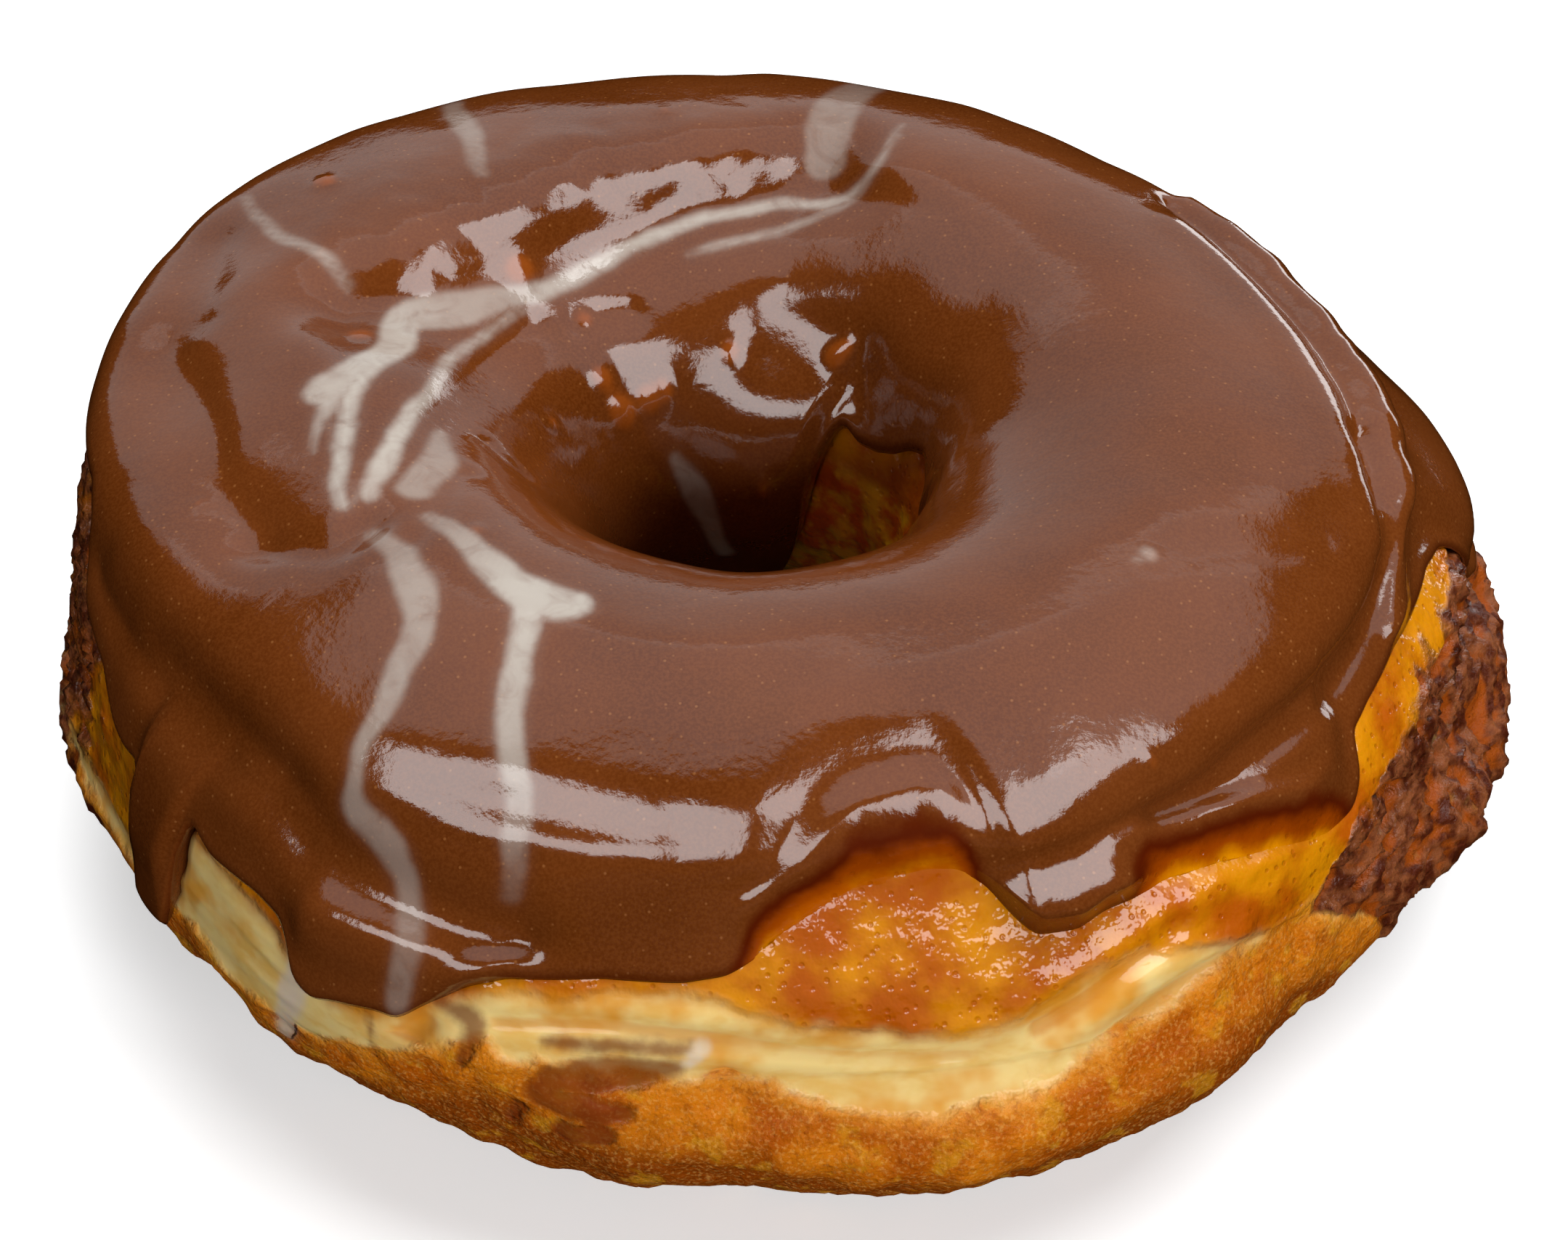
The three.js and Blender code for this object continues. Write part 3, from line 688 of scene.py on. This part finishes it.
# %% White glaze strokes
GLAZE = [  # angle, key line, half width in mm, how opaque
    # the long streak behind the hole, from the right
    [(75, 3.6, 0.15, 0.5), (75, 4.02, 0.3, 0.6), (79, 4.28, 0.4, 0.8), (86, 4.33, 0.4, 0.9),
     (94, 4.4, 0.45, 0.9), (102, 4.5, 0.5, 0.9), (111, 4.62, 0.5, 0.9), (121, 4.74, 0.6, 0.9),
     (132, 4.76, 0.7, 0.8), (140, 4.64, 1, 0.6), (148, 4.46, 1.5, 0.6), (154, 4.24, 1.4, 0.8),
     (163, 4.3, 1.2, 1), (172, 4.1, 1, 0.9), (177, 3.95, 1.1, 0.8)],
    # a thin strand beside it
    [(74, 3.7, 0.1, 0.5), (76, 4.26, 0.2, 0.5), (83, 4.52, 0.3, 0.6), (93, 4.68, 0.3, 0.7),
     (102, 4.78, 0.15, 0.4)],
    # its branch towards the left
    [(161, 4.32, 0.8, 1), (168, 4.24, 0.7, 1), (177, 4.12, 0.5, 1), (185, 4.04, 0.55, 1),
     (193, 3.92, 0.5, 1), (199, 3.84, 0.4, 0.9)],
    # a short strand off that one
    [(175, 4.02, 0.7, 0.9), (181, 3.94, 0.4, 0.8), (188, 3.84, 0.1, 0.5)],
    # the inner strand
    [(137, 4.84, 0.2, 0.6), (149, 4.78, 0.35, 0.7), (160, 4.68, 0.4, 0.8), (172, 4.62, 0.45, 0.8),
     (180, 4.5, 0.5, 0.9), (186, 4.38, 0.6, 1), (193, 4.2, 0.7, 1), (199, 4.0, 0.5, 0.8)],
    # a faint pool where the strands meet
    [(185, 4.68, 0.4, 0.4), (195, 4.52, 1.2, 0.5), (201, 4.26, 1.2, 0.5)],
    # the run down the front left
    [(205, 3.86, 0.5, 0.4), (212, 3.84, 0.9, 0.5), (218, 3.74, 1.1, 0.6), (222, 3.6, 1.1, 0.6),
     (224, 3.35, 1, 0.6), (225.5, 3.16, 0.8, 0.6), (226, 2.84, 0.6, 0.6), (227, 2.54, 0.5, 0.5),
     (228, 2.2, 0.9, 0.45), (231, 2.02, 1, 0.4), (234, 1.78, 0.9, 0.4), (236, 1.48, 0.8, 0.4),
     (238, 1.1, 0.9, 0.35), (238, 0.5, 0.8, 0.3)],
    # a blob in front of the hole and the way to it
    [(208, 4.16, 0.4, 0.4), (217, 4.16, 0.8, 0.6), (224, 4.1, 1.1, 0.8), (231, 4.02, 1.4, 1),
     (237, 4, 1.5, 1), (241, 4.03, 1.2, 1)],
    # the run from the blob down the front
    [(234, 3.98, 1, 1), (236, 3.8, 0.9, 1), (237, 3.6, 0.8, 0.9), (238, 3.4, 0.9, 0.8),
     (240, 3.14, 0.9, 0.75), (243, 2.8, 0.9, 0.6), (244, 2.32, 0.8, 0.35), (245, 1.8, 0.6, 0.15)],
    # a dash at the back
    [(122, 3.0, 0.7, 0.3), (125, 3.48, 0.8, 0.45), (129, 3.8, 0.5, 0.3)],
    # a dash at the back left
    [(152, 3.8, 0.3, 0.4), (150, 3.62, 0.5, 0.6), (148, 3.36, 0.5, 0.5), (144, 2.98, 0.3, 0.3)],
    # a patch at the back right
    [(81, 2.9, 1, 0.25), (84, 3.5, 1.6, 0.35), (83, 3.9, 1.4, 0.35)],
    # a run inside the hole
    [(115, 6.16, 0.5, 0.5), (108, 6.38, 1.1, 0.6), (101, 6.64, 0.9, 0.6), (96, 6.86, 0.7, 0.8)],
    # a dot at the right
    [(328, 3.74, 0.5, 0.5), (326, 3.76, 0.3, 0.3)],
]


def glazed(points, strokes, reach=6.0):
    """How far in mm each point lies outside the nearest stroke, and how opaque that one is there."""
    gap, opaque = np.full(len(points), reach), np.zeros(len(points))
    for stops in strokes:
        curve, width = curve_through([stop[:3] for stop in stops])
        strength = curve_through([(a, p, s) for a, p, w, s in stops])[1]
        boxed = (points > curve.min(0) - reach) & (points < curve.max(0) + reach)
        near = np.flatnonzero(np.all(boxed, axis=1))
        for centre, half, strong in zip(curve, width, strength):
            here = np.linalg.norm(points[near] - centre, axis=1) - half
            closer = here < gap[near]
            gap[near[closer]] = here[closer]
            opaque[near[closer]] = strong
    return gap, opaque


WAVER = 0.3  # mm that the strokes' sides waver
waver = np.stack([rough(skin, 5, 2, shift) for shift in (3.1, 9.4, 17.9)], 1)
glaze_gap, glaze_strength = glazed(skin + WAVER * waver, GLAZE)
print("white glaze covers", int((glaze_gap < 0).sum()), "corners of the icing")

# %% Put the icing in place
UNEVENNESS = 0.3
THINNEST, FOLD_ROOM, TUCK = 0.4, 1.4, 0.4  # mm: icing left in a valley, depth of the sunk bed, thickness
uneven = ripples + UNEVENNESS * rough(skin, 15, 2, 5.0) + lumpy
shown = lift + folded + ease(0, VALLEY_FADE, near_edge) * uneven
well_in = ease(0.5, SUNK_WHOLE_AT, near_edge)
deepest = np.minimum(lift, THINNEST) - FOLD_ROOM * well_in
rise = np.where(outside, np.maximum(shown, deepest), deepest - TUCK * well_in)
points = skin + outward(angle, place) * (broad_relief(angle, place) + rise)[:, None]
points[:, 2] = np.maximum(points[:, 2], 0)
put(icing, points)
keep(icing, "glaze_gap", glaze_gap)
keep(icing, "glaze_strength", glaze_strength)
keep(icing, "film", thin * np.clip(1 - from_lip / FILM_SHOWS_TO, 0, 1))
keep(icing, "from_lip", from_lip)
keep(icing, "lump", lumpy)
print("icing stands", points[:, 2].max().round(2), "mm tall")

# %% [markdown]
# ## Reading noise and attributes in a material
# Materials here are built from a handful of node kinds. Small helpers add a node, mix two
# colours by a mask and turn a value into a mask with a soft edge. Noise is given by the size
# of its lumps in millimetres and read on Object coordinates, so it stays on the surface.


# %% Node helpers
def feed(tree, node, values):
    """Gives a node's inputs, by name or number, a value or a link each."""
    for socket, value in values.items():
        if isinstance(value, bpy.types.NodeSocket):
            tree.links.new(value, node.inputs[socket])
        else:
            node.inputs[socket].default_value = value
    return node


def add(tree, kind, *values, **settings):
    """A new node, with its settings and the values or links of its first inputs."""
    made = tree.nodes.new("ShaderNode" + kind)
    for name, value in settings.items():
        setattr(made, name, value)
    return feed(tree, made, dict(enumerate(values)))


def maths(tree, operation, *values):
    return add(tree, "Math", *values, operation=operation).outputs[0]


def times(tree, first, second):
    return maths(tree, "MULTIPLY", first, second)


def mask(tree, value, low, high):
    """0 at low, 1 at high and smooth between them. Low may be the larger."""
    return add(tree, "MapRange", value, low, high, 0.0, 1.0, interpolation_type="SMOOTHSTEP").outputs[0]


def mix(tree, factor, first, second):
    """The first colour under the second one."""
    return feed(tree, add(tree, "Mix", data_type="RGBA"), {0: factor, 6: first, 7: second}).outputs[2]


def cloud(tree, size, detail=3.0, stretch=None, distortion=0.0):
    """Noise on the surface, 0 to 1, with lumps of the given size in mm."""
    where = add(tree, "TexCoord").outputs["Object"]
    if stretch:
        where = feed(tree, add(tree, "Mapping", where), {"Scale": stretch}).outputs[0]
    settings = {"Scale": 1 / (size * METRES), "Detail": detail, "Distortion": distortion}
    return feed(tree, add(tree, "TexNoise", where), settings).outputs[0]


def cells(tree, size):
    """Distance to scattered points the given size apart in mm, 0 to about 1."""
    made = add(tree, "TexVoronoi", add(tree, "TexCoord").outputs["Object"])
    return feed(tree, made, {"Scale": 1 / (size * METRES)}).outputs["Distance"]


def unsteady(tree, value, size, amount, detail=4.0):
    """The value with noise added, so that a line drawn by it wanders."""
    wandering = times(tree, maths(tree, "SUBTRACT", cloud(tree, size, detail), 0.5), amount)
    return maths(tree, "ADD", value, wandering)


def kept(tree, name):
    return add(tree, "Attribute", attribute_name=name).outputs["Fac"]


def colour(red, green, blue):
    """A colour as picked from a picture, 0 to 255, made linear."""
    return (*((v / 255) ** 2.2 for v in (red, green, blue)), 1)


def bump(tree, height, depth, below=None):
    """A bump of the given depth in mm, on top of another bump."""
    values = {"Distance": depth * METRES, "Height": height} | ({"Normal": below} if below else {})
    return feed(tree, add(tree, "Bump"), values).outputs[0]


def finish_of(name):
    """A new material, its node tree and its Principled shader."""
    made = bpy.data.materials.new(name)
    made.use_nodes = True
    return made, made.node_tree, made.node_tree.nodes["Principled BSDF"]


def new_group(name, inputs, outputs):
    """An empty shader node group with named inputs and outputs."""
    group = bpy.data.node_groups.new(name, "ShaderNodeTree")
    for label, kind in inputs:
        group.interface.new_socket(label, in_out="INPUT", socket_type=kind)
    for label, kind in outputs:
        group.interface.new_socket(label, in_out="OUTPUT", socket_type=kind)
    return group, group.nodes.new("NodeGroupInput"), group.nodes.new("NodeGroupOutput")


def place_group(tree, group, **values):
    """Places a group in a material, with a value or a link for each named input."""
    return feed(tree, add(tree, "Group", node_tree=group), values).outputs


# %% [markdown]
# ## Wet dough
# Where the icing was wiped thin the dough is amber and full of tiny bubbles. Both the dough
# and the thin icing show it, so it is a node group that each material places: it gives a
# colour and a height, and the shader stays in the material.

# %% Amber, bubbly dough as a group
FLOAT, COLOUR = "NodeSocketFloat", "NodeSocketColor"
wet_dough, _, given = new_group("wet_dough", [], [("Color", COLOUR), ("Height", FLOAT)])
patches = mask(wet_dough, cloud(wet_dough, 5, 4), 0.35, 0.65)
amber = mix(wet_dough, patches, colour(176, 84, 2), colour(214, 134, 6))
pores = mask(wet_dough, cells(wet_dough, 0.8), 0.3, 0.12)
# Painted shade: the pores are sunk by the height below and also painted darker, as shade in the pits.
amber = mix(wet_dough, times(wet_dough, pores, 0.35), amber, colour(160, 66, 0))
swells = maths(wet_dough, "SUBTRACT", cloud(wet_dough, 1.8, 3), times(wet_dough, pores, 0.15))
feed(wet_dough, given, {"Color": amber, "Height": swells})
print("wet dough group has", len(wet_dough.nodes), "nodes")

# %% [markdown]
# ## White glaze
# Glaze on the icing and on the dough is the same sugar, cloudy where it lies thick. The group
# takes the distance to the stroke's edge and its opacity, and gives a mask with a soft,
# slightly feathered edge.

# %% White glaze as a group
glaze_mask, taken, given = new_group("glaze_mask", [("Gap", FLOAT), ("Strength", FLOAT)], [("Mask", FLOAT)])
gap = unsteady(glaze_mask, taken.outputs["Gap"], 2.2, 0.5, 3)
thick = times(glaze_mask, mask(glaze_mask, gap, 0.4, -0.4), 0.72)
drawn_out = times(glaze_mask, mask(glaze_mask, gap, 1.0, -1.2), 0.2)
wisps = mask(glaze_mask, cloud(glaze_mask, 3, 3, distortion=1.5), -0.2, 0.62)
cloudy = times(glaze_mask, maths(glaze_mask, "ADD", thick, drawn_out), wisps)
feed(glaze_mask, given, {"Mask": times(glaze_mask, cloudy, taken.outputs["Strength"])})
print("glaze mask group has", len(glaze_mask.nodes), "nodes")

# %% [markdown]
# ## Chocolate icing
# Milk chocolate icing is warm brown, very smooth and wet. Close up it has pale and orange
# grains, and it mottles slowly from one place to the next. White glaze is mixed in by the
# distance from its strokes. Where the icing was wiped, the colour goes from brown through
# dark red to amber as the film thins, and the dough's bubbles come up through it.

# %% Make the chocolate
chocolate, tree, shader = finish_of("chocolate_icing")
body = mix(tree, mask(tree, cloud(tree, 11, 2), 0.3, 0.7), colour(92, 46, 18), colour(104, 54, 24))
powder = mask(tree, cloud(tree, 0.22, 2), 0.3, 0.72)
body = mix(tree, times(tree, powder, 0.25), body, colour(136, 78, 38))
grains = mask(tree, cells(tree, 0.9), 0.16, 0.04)
body = mix(tree, times(tree, grains, 0.4), body, colour(168, 110, 62))
nutty = mask(tree, kept(tree, "lump"), 0.05, 0.25)
body = mix(tree, times(tree, nutty, 0.5), body, colour(160, 80, 26))
milky = place_group(tree, glaze_mask, Gap=kept(tree, "glaze_gap"), Strength=kept(tree, "glaze_strength"))
body = mix(tree, milky["Mask"], body, colour(190, 181, 170))
# Painted shade: within 1 mm of its outer edge the chocolate is darkened to deep brown, standing in for the
# shade along the lip.
edge_shade = times(tree, mask(tree, kept(tree, "from_lip"), 1.0, 0.0), 0.7)
body = mix(tree, edge_shade, body, colour(74, 30, 12))
wet = place_group(tree, wet_dough)
film = unsteady(tree, kept(tree, "film"), 2.6, 0.4)
body = mix(tree, mask(tree, film, 0.2, 0.48), body, colour(84, 30, 10))
body = mix(tree, mask(tree, film, 0.45, 0.75), body, colour(146, 64, 6))
body = mix(tree, mask(tree, film, 0.7, 0.95), body, wet["Color"])
surface = bump(tree, cloud(tree, 4, 2), 0.08)
surface = bump(tree, cloud(tree, 0.5, 4), 0.018, surface)
bubbly = times(tree, wet["Height"], mask(tree, film, 0.45, 0.75))
surface = bump(tree, bubbly, 0.35, surface)
feed(tree, shader, {"Base Color": body, "Normal": surface, "Roughness": 0.09, "IOR": 1.55})
icing.data.materials.append(chocolate)
print("chocolate has", len(tree.nodes), "nodes")

# %% [markdown]
# ## Fried crust
# The crust is golden where it is thin and orange-brown where it met the oil longest. The belt
# is pale because it floated above the oil, and crags at the right are nearly burnt. The
# wedge in the throat is painted brighter than the rest, as painted light, because little light
# gets down to it; the belt's creases and the left of the lower tier get painted shade. Tiny
# cracks and crumbs make the crust matte, while anything glazed is wet.

# %% Colour the crust
crust, tree, shader = finish_of("fried_dough")
over_foot = unsteady(tree, kept(tree, "above_foot"), 3, 4)
browned = mix(tree, mask(tree, cloud(tree, 5, 4), 0.38, 0.62), colour(176, 86, 12), colour(212, 120, 22))
browned = mix(tree, mask(tree, over_foot, -3, -9), browned, colour(140, 66, 12))
browned = mix(tree, mask(tree, over_foot, -2.2, 0), browned, colour(222, 138, 40))
golden = times(tree, mask(tree, cloud(tree, 2.6, 5), 0.56, 0.66), 0.6)
browned = mix(tree, golden, browned, colour(208, 142, 32))
sugar = times(tree, mask(tree, cloud(tree, 0.28, 3), 0.48, 0.7), 0.35)
browned = mix(tree, sugar, browned, colour(238, 176, 92))
crumbs = times(tree, mask(tree, cloud(tree, 0.6, 4), 0.48, 0.34), 0.35)
browned = mix(tree, crumbs, browned, colour(140, 60, 6))
layers = cloud(tree, 1.6, 3, stretch=(0.5, 0.5, 1))
cream = mix(tree, mask(tree, layers, 0.3, 0.6), colour(230, 182, 96), colour(240, 208, 134))
cream = mix(tree, mask(tree, cloud(tree, 6, 3), 0.52, 0.72), cream, colour(222, 150, 50))
# Painted shade: the belt's creases are painted darker orange, standing in for the shade in them.
crease_shade = times(tree, mask(tree, kept(tree, "creased"), -0.05, -0.4), 0.6)
cream = mix(tree, crease_shade, cream, colour(208, 128, 36))
body = mix(tree, mask(tree, over_foot, -0.8, 0.7), browned, cream)
wet = place_group(tree, wet_dough)
over_belt = unsteady(tree, kept(tree, "above_belt"), 2.5, 2.2)
body = mix(tree, mask(tree, over_belt, -1.2, 0.8), body, wet["Color"])
# Painted light: the wedge in the throat is painted bright gold, lighter than the amber elsewhere, because
# little light reaches it.
knobs = mask(tree, cloud(tree, 2.4, 4), 0.4, 0.6)
throat = mix(tree, knobs, colour(224, 104, 6), colour(252, 186, 26))
body = mix(tree, mask(tree, kept(tree, "throat"), 0.2, 0.6), body, throat)
print("crust has", len(tree.nodes), "nodes so far")

# %% Burn, stain and paint shade on the crust
torn = mix(tree, mask(tree, cloud(tree, 1.6, 5), 0.38, 0.62), colour(80, 36, 20), colour(136, 78, 46))
between_flakes = mask(tree, unsteady(tree, kept(tree, "flakes"), 2.2, 1.6), 0.05, -0.5)
torn = mix(tree, between_flakes, torn, colour(154, 74, 22))
# Burnt and torn crust, and the painted shade on the left of the lower tier, take the dark torn colours.
burnt_and_shade_here = mask(tree, unsteady(tree, kept(tree, "burnt_and_shade"), 2.5, 1.4, 5), 0.3, 0.8)
body = mix(tree, burnt_and_shade_here, body, torn)
rubbed = mask(tree, unsteady(tree, kept(tree, "stain"), 1.8, 1.1), 0.5, -0.4)
body = mix(tree, times(tree, rubbed, 0.75), body, colour(112, 46, 22))
milky = place_group(tree, glaze_mask, Gap=kept(tree, "white"), Strength=1.1)["Mask"]
body = mix(tree, milky, body, colour(226, 204, 178))
print("crust has", len(tree.nodes), "nodes so far")

# %% Roughen the crust
GLAZED_COAT, MOIST_COAT = 0.6, 0.4  # the second also lies below the belt
dry_crust = times(tree, mask(tree, over_foot, 0.5, -0.8), mask(tree, rubbed, 1.2, 0.0))
dry_crust = times(tree, dry_crust, mask(tree, milky, 0.5, 0.1))
flaky = maths(tree, "MAXIMUM", dry_crust, burnt_and_shade_here)
charred = times(tree, burnt_and_shade_here, mask(tree, cloud(tree, 2, 2), 0.4, 0.6))
moist = maths(tree, "SUBTRACT", 1.0, maths(tree, "MAXIMUM", dry_crust, charred))
glazed_over = times(tree, moist, mask(tree, over_belt, -2.0, 0.5))
coat = maths(tree, "ADD", times(tree, glazed_over, GLAZED_COAT), times(tree, moist, MOIST_COAT))
surface = bump(tree, times(tree, cloud(tree, 0.35, 4), flaky), 0.2)
surface = bump(tree, times(tree, cloud(tree, 1.6, 4), flaky), 0.4, surface)
bubbly = times(tree, wet["Height"], mask(tree, over_belt, -0.3, 0.5))
surface = bump(tree, bubbly, 0.35, surface)
feed(tree, shader, {
    "Base Color": body, "Normal": surface, "Roughness": 0.5, "Specular IOR Level": 0.12,
    "Coat Weight": coat, "Coat Normal": surface, "Coat Roughness": 0.1,
    "Subsurface Weight": 0.12, "Subsurface Radius": (1, 0.4, 0.1), "Subsurface Scale": 0.0015})
dough.data.materials.append(crust)
print("crust has", len(tree.nodes), "nodes")

# %% [markdown]
# ## What stands for what
# Each new piece rides on the object's one body and hides the plain solid that it replaces.

# %% Tie the pieces to the frame
for piece, node, slot in (
    (dough, "dough_ring", "fried_dough"),
    (icing, "chocolate_icing", "chocolate_icing")):
    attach(piece, "root")
    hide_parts(node)
    print(piece.name, "replaces", node)

# %% [markdown]
# ## Floor and light
# A glossy icing shows its whole surroundings, so most light here is placed by what should be
# seen in it. Two boxes in front give the bright patches on the front slopes and in the hole,
# a low one behind draws the line along the right edge, and a wall and a ceiling at the back
# give the pale veil over the top. None of these light the colours, so moving one only moves
# its reflection. A key light above and a fill in front do that, and they aren't reflected.
# The floor is white paper that glows a little, which keeps it white in the shade.


# %% Build the studio
def softbox(name, centre, look_at, size, brightness, roll=0):
    """A rectangle of light, with brightness as seen, where 1 is plain white."""
    light = bpy.data.lights.new(name, "AREA")
    light.shape = "RECTANGLE"
    light.size, light.size_y = size
    light.energy = brightness * math.pi * size[0] * size[1]
    made = in_scene(name, light)
    made.location = centre
    facing = (Vector(look_at) - Vector(centre)).to_track_quat("-Z", "Y")
    made.rotation_euler = (facing @ Quaternion((0, 0, 1), math.radians(roll))).to_euler()
    return made


def aim(turn, rise, distance=0.9):
    """A place that far off, turned from straight behind towards the right, in degrees."""
    turn, rise = math.radians(turn), math.radians(rise)
    flat = distance * math.cos(rise)
    return flat * math.sin(turn), flat * math.cos(turn), distance * math.sin(rise)


FLOOR_REACH = 2.5  # metres each way
MIDDLE = 0, 0, 0.02
ROOM_GLOW = 0.04

mesh = bmesh.new()
bmesh.ops.create_grid(mesh, x_segments=1, y_segments=1, size=FLOOR_REACH)
floor_mesh = bpy.data.meshes.new("floor")
mesh.to_mesh(floor_mesh)
mesh.free()
floor = in_scene("floor", floor_mesh)
paper, tree, shader = finish_of("pale_floor")
feed(tree, shader, {
    "Base Color": (0.9, 0.9, 0.9, 1), "Roughness": 0.8,
    "Emission Color": (1, 1, 1, 1), "Emission Strength": 0.45})
floor_mesh.materials.append(paper)
floor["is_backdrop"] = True
floor.visible_glossy = floor.visible_diffuse = False

REFLECTED = [  # name, where, what it faces, size in metres, brightness and roll
    ("front_left", aim(-143, 54), MIDDLE, (0.62, 0.28), 5.8, 6),
    ("front_right", aim(128, 58), MIDDLE, (0.6, 0.46), 6, 0),
    ("right_edge", aim(33, 3), MIDDLE, (0.5, 0.2), 3.5, 0),
    ("back_wall", (0, 1.1, 0.6), (0, 0, 0.1), (1.8, 1.1), 0.7, 0),
    ("ceiling", (0.12, 0.395, 1), (0.12, 0.395, 0), (1.5, 0.89), 1.0, 0),
]
for settings in REFLECTED:
    softbox(*settings).visible_diffuse = False
softbox("key", aim(28, 66, 1.5), MIDDLE, (2, 1.5), 3.9).visible_glossy = False
softbox("fill", aim(168, 16, 1.5), MIDDLE, (1.8, 0.8), 4.7).visible_glossy = False
world = bpy.data.worlds.new("studio")
bpy.context.scene.world = world
world.use_nodes = True
room = {"Color": (1, 1, 1, 1), "Strength": ROOM_GLOW}
feed(world.node_tree, world.node_tree.nodes["Background"], room)
world.cycles_visibility.glossy = False
bpy.context.scene.view_settings.view_transform = "Standard"

# %% [markdown]
# ## Size
# The dressed doughnut has to stay inside the plain model's box, so both boxes are written
# down to be compared.

# %% Write both boxes
low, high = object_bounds()
print("dressed model from", tuple(low), "to", tuple(high))
